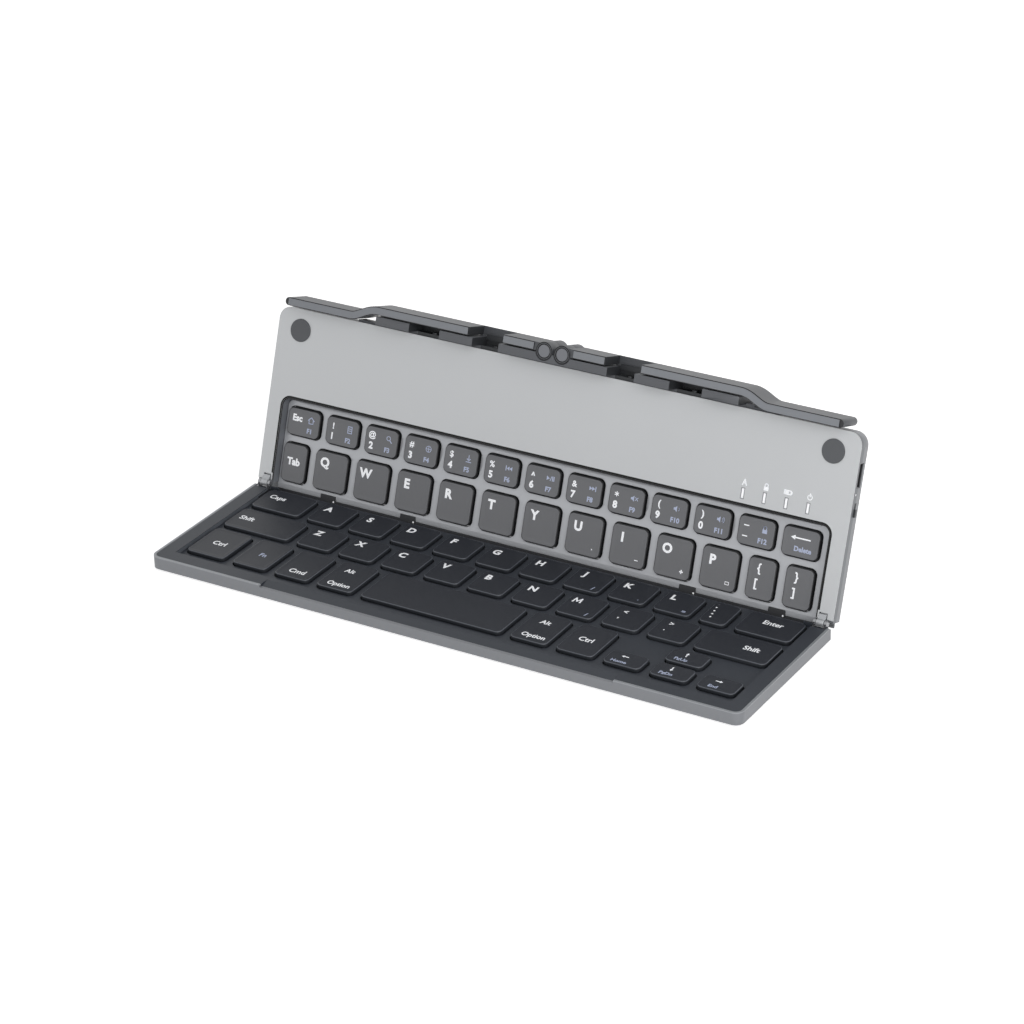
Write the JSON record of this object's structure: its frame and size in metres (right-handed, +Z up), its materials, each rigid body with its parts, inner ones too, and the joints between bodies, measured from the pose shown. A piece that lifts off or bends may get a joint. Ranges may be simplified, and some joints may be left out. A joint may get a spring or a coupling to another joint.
{
  "type": "folding keyboard",
  "caption": "Slim two-part keyboard that folds shut on a cross hinge, with a swing-out tablet stand along its rear edge and keys that press.",
  "frame": {"origin": "middle of the whole outline in plan, on the plane that the rubber feet stand on", "axes": "+X along the hinge to the user's right, +Y away from the user, +Z up; the lower half lies flat and the upper half stands open at 109 degrees to it"},
  "size_m": [0.2516, 0.1032, 0.0835],
  "materials": {
    "silver_panel": "satin anodised silver",
    "grey_shell": "satin anodised grey",
    "black_deck": "fine matte texture",
    "dark_frame": "fine matte texture",
    "upper_cap": "fine matte texture with white legends",
    "lower_cap": "fine matte texture with white legends",
    "spring_steel": "brushed",
    "pin_steel": "turned and polished",
    "membrane": "smooth film",
    "black_rubber": "matte",
    "pad_rubber": "matte",
    "stand_plastic": "fine matte texture",
    "battery_foil": "crimped foil",
    "board": "solder mask",
    "port_steel": "stamped shell",
    "light_pipe": "translucent white"
  },
  "bodies": {
    "lower_half": {"lower_tray": "grey_shell", "lower_deck": "black_deck", "lower_support_plate": "spring_steel", "lower_membrane": "membrane", "lower_snap_domes": "spring_steel", "lower_feet": "black_rubber", "hinge_brackets": "pin_steel", "hinge_pins": "pin_steel"},
    "upper_half": {"hinge_lugs": "silver_panel", "upper_back_shell": "grey_shell", "upper_front_panel": "silver_panel", "upper_frame": "dark_frame", "upper_deck": "silver_panel", "upper_support_plate": "spring_steel", "upper_membrane": "membrane", "upper_snap_domes": "spring_steel", "hinge_strip": "black_deck", "battery": "battery_foil", "main_board": "board", "usb_port": "port_steel", "led_light_pipes": "light_pipe", "corner_pads": "pad_rubber", "stand_rail": "stand_plastic", "stand_screws": "pin_steel", "stand_pins": "pin_steel"},
    "power_switch": {"power_switch_knob": "dark_frame"},
    "stand_arm_left": {"stand_arm_left": "stand_plastic"},
    "stand_arm_right": {"stand_arm_right": "stand_plastic"},
    "number_row_keys": {"number_row_keys": "upper_cap"},
    "upper_side_keys": {"upper_side_keys": "upper_cap"},
    "modifier_keys": {"modifier_keys": "lower_cap"},
    "arrow_and_punctuation_keys": {"arrow_and_punctuation_keys": "lower_cap"},
    "space_bar": {"space_bar": "lower_cap"},
    "enter_key": {"enter_key": "lower_cap"},
    "key_q": {"key_q": "upper_cap"},
    "key_w": {"key_w": "upper_cap"},
    "key_e": {"key_e": "upper_cap"},
    "key_r": {"key_r": "upper_cap"},
    "key_t": {"key_t": "upper_cap"},
    "key_y": {"key_y": "upper_cap"},
    "key_u": {"key_u": "upper_cap"},
    "key_i": {"key_i": "upper_cap"},
    "key_o": {"key_o": "upper_cap"},
    "key_p": {"key_p": "upper_cap"},
    "key_a": {"key_a": "lower_cap"},
    "key_s": {"key_s": "lower_cap"},
    "key_d": {"key_d": "lower_cap"},
    "key_f": {"key_f": "lower_cap"},
    "key_g": {"key_g": "lower_cap"},
    "key_h": {"key_h": "lower_cap"},
    "key_j": {"key_j": "lower_cap"},
    "key_k": {"key_k": "lower_cap"},
    "key_l": {"key_l": "lower_cap"},
    "key_z": {"key_z": "lower_cap"},
    "key_x": {"key_x": "lower_cap"},
    "key_c": {"key_c": "lower_cap"},
    "key_v": {"key_v": "lower_cap"},
    "key_b": {"key_b": "lower_cap"},
    "key_n": {"key_n": "lower_cap"},
    "key_m": {"key_m": "lower_cap"}
  },
  "joints": [
    {"name": "fold_hinge", "type": "hinge", "parent": "lower_half", "child": "upper_half", "pos_m": [0, 0.01946, 0.0068], "axis": [1, 0, 0], "range_deg": [-71, 109]},
    {"name": "stand_left_swing", "type": "hinge", "parent": "upper_half", "child": "stand_arm_left", "pos_m": [-0.00385, 0.04407, 0.07828], "axis": [0, 0.9455, -0.3256], "range_deg": [0, 90]},
    {"name": "stand_right_swing", "type": "hinge", "parent": "upper_half", "child": "stand_arm_right", "pos_m": [0.00385, 0.04407, 0.07828], "axis": [0, -0.9455, 0.3256], "range_deg": [0, 90]},
    {"name": "power_switch_slide", "type": "slide", "parent": "upper_half", "child": "power_switch", "axis": [0, 0.3256, 0.9455], "range_m": [0, 0.002]},
    {"name": "key_q_press", "type": "slide", "parent": "upper_half", "child": "key_q", "axis": [0, 0.9455, -0.3256], "range_m": [0, 0.0011], "stiffness_N_per_m": 400, "springref_m": -0.0003},
    {"name": "key_w_press", "type": "slide", "parent": "upper_half", "child": "key_w", "axis": [0, 0.9455, -0.3256], "range_m": [0, 0.0011], "stiffness_N_per_m": 400, "springref_m": -0.0003},
    {"name": "key_e_press", "type": "slide", "parent": "upper_half", "child": "key_e", "axis": [0, 0.9455, -0.3256], "range_m": [0, 0.0011], "stiffness_N_per_m": 400, "springref_m": -0.0003},
    {"name": "key_r_press", "type": "slide", "parent": "upper_half", "child": "key_r", "axis": [0, 0.9455, -0.3256], "range_m": [0, 0.0011], "stiffness_N_per_m": 400, "springref_m": -0.0003},
    {"name": "key_t_press", "type": "slide", "parent": "upper_half", "child": "key_t", "axis": [0, 0.9455, -0.3256], "range_m": [0, 0.0011], "stiffness_N_per_m": 400, "springref_m": -0.0003},
    {"name": "key_y_press", "type": "slide", "parent": "upper_half", "child": "key_y", "axis": [0, 0.9455, -0.3256], "range_m": [0, 0.0011], "stiffness_N_per_m": 400, "springref_m": -0.0003},
    {"name": "key_u_press", "type": "slide", "parent": "upper_half", "child": "key_u", "axis": [0, 0.9455, -0.3256], "range_m": [0, 0.0011], "stiffness_N_per_m": 400, "springref_m": -0.0003},
    {"name": "key_i_press", "type": "slide", "parent": "upper_half", "child": "key_i", "axis": [0, 0.9455, -0.3256], "range_m": [0, 0.0011], "stiffness_N_per_m": 400, "springref_m": -0.0003},
    {"name": "key_o_press", "type": "slide", "parent": "upper_half", "child": "key_o", "axis": [0, 0.9455, -0.3256], "range_m": [0, 0.0011], "stiffness_N_per_m": 400, "springref_m": -0.0003},
    {"name": "key_p_press", "type": "slide", "parent": "upper_half", "child": "key_p", "axis": [0, 0.9455, -0.3256], "range_m": [0, 0.0011], "stiffness_N_per_m": 400, "springref_m": -0.0003},
    {"name": "number_row_keys_press", "type": "slide", "parent": "upper_half", "child": "number_row_keys", "axis": [0, 0.9455, -0.3256], "range_m": [0, 0.0011], "stiffness_N_per_m": 400, "springref_m": -0.0003},
    {"name": "upper_side_keys_press", "type": "slide", "parent": "upper_half", "child": "upper_side_keys", "axis": [0, 0.9455, -0.3256], "range_m": [0, 0.0011], "stiffness_N_per_m": 400, "springref_m": -0.0003},
    {"name": "key_a_press", "type": "slide", "parent": "lower_half", "child": "key_a", "axis": [0, 0, -1], "range_m": [0, 0.0011], "stiffness_N_per_m": 400, "springref_m": -0.0003},
    {"name": "key_s_press", "type": "slide", "parent": "lower_half", "child": "key_s", "axis": [0, 0, -1], "range_m": [0, 0.0011], "stiffness_N_per_m": 400, "springref_m": -0.0003},
    {"name": "key_d_press", "type": "slide", "parent": "lower_half", "child": "key_d", "axis": [0, 0, -1], "range_m": [0, 0.0011], "stiffness_N_per_m": 400, "springref_m": -0.0003},
    {"name": "key_f_press", "type": "slide", "parent": "lower_half", "child": "key_f", "axis": [0, 0, -1], "range_m": [0, 0.0011], "stiffness_N_per_m": 400, "springref_m": -0.0003},
    {"name": "key_g_press", "type": "slide", "parent": "lower_half", "child": "key_g", "axis": [0, 0, -1], "range_m": [0, 0.0011], "stiffness_N_per_m": 400, "springref_m": -0.0003},
    {"name": "key_h_press", "type": "slide", "parent": "lower_half", "child": "key_h", "axis": [0, 0, -1], "range_m": [0, 0.0011], "stiffness_N_per_m": 400, "springref_m": -0.0003},
    {"name": "key_j_press", "type": "slide", "parent": "lower_half", "child": "key_j", "axis": [0, 0, -1], "range_m": [0, 0.0011], "stiffness_N_per_m": 400, "springref_m": -0.0003},
    {"name": "key_k_press", "type": "slide", "parent": "lower_half", "child": "key_k", "axis": [0, 0, -1], "range_m": [0, 0.0011], "stiffness_N_per_m": 400, "springref_m": -0.0003},
    {"name": "key_l_press", "type": "slide", "parent": "lower_half", "child": "key_l", "axis": [0, 0, -1], "range_m": [0, 0.0011], "stiffness_N_per_m": 400, "springref_m": -0.0003},
    {"name": "key_z_press", "type": "slide", "parent": "lower_half", "child": "key_z", "axis": [0, 0, -1], "range_m": [0, 0.0011], "stiffness_N_per_m": 400, "springref_m": -0.0003},
    {"name": "key_x_press", "type": "slide", "parent": "lower_half", "child": "key_x", "axis": [0, 0, -1], "range_m": [0, 0.0011], "stiffness_N_per_m": 400, "springref_m": -0.0003},
    {"name": "key_c_press", "type": "slide", "parent": "lower_half", "child": "key_c", "axis": [0, 0, -1], "range_m": [0, 0.0011], "stiffness_N_per_m": 400, "springref_m": -0.0003},
    {"name": "key_v_press", "type": "slide", "parent": "lower_half", "child": "key_v", "axis": [0, 0, -1], "range_m": [0, 0.0011], "stiffness_N_per_m": 400, "springref_m": -0.0003},
    {"name": "key_b_press", "type": "slide", "parent": "lower_half", "child": "key_b", "axis": [0, 0, -1], "range_m": [0, 0.0011], "stiffness_N_per_m": 400, "springref_m": -0.0003},
    {"name": "key_n_press", "type": "slide", "parent": "lower_half", "child": "key_n", "axis": [0, 0, -1], "range_m": [0, 0.0011], "stiffness_N_per_m": 400, "springref_m": -0.0003},
    {"name": "key_m_press", "type": "slide", "parent": "lower_half", "child": "key_m", "axis": [0, 0, -1], "range_m": [0, 0.0011], "stiffness_N_per_m": 400, "springref_m": -0.0003},
    {"name": "modifier_keys_press", "type": "slide", "parent": "lower_half", "child": "modifier_keys", "axis": [0, 0, -1], "range_m": [0, 0.0011], "stiffness_N_per_m": 400, "springref_m": -0.0003},
    {"name": "arrow_and_punctuation_keys_press", "type": "slide", "parent": "lower_half", "child": "arrow_and_punctuation_keys", "axis": [0, 0, -1], "range_m": [0, 0.0011], "stiffness_N_per_m": 400, "springref_m": -0.0003},
    {"name": "space_bar_press", "type": "slide", "parent": "lower_half", "child": "space_bar", "axis": [0, 0, -1], "range_m": [0, 0.0011], "stiffness_N_per_m": 400, "springref_m": -0.0003},
    {"name": "enter_key_press", "type": "slide", "parent": "lower_half", "child": "enter_key", "axis": [0, 0, -1], "range_m": [0, 0.0011], "stiffness_N_per_m": 400, "springref_m": -0.0003}
  ]
}
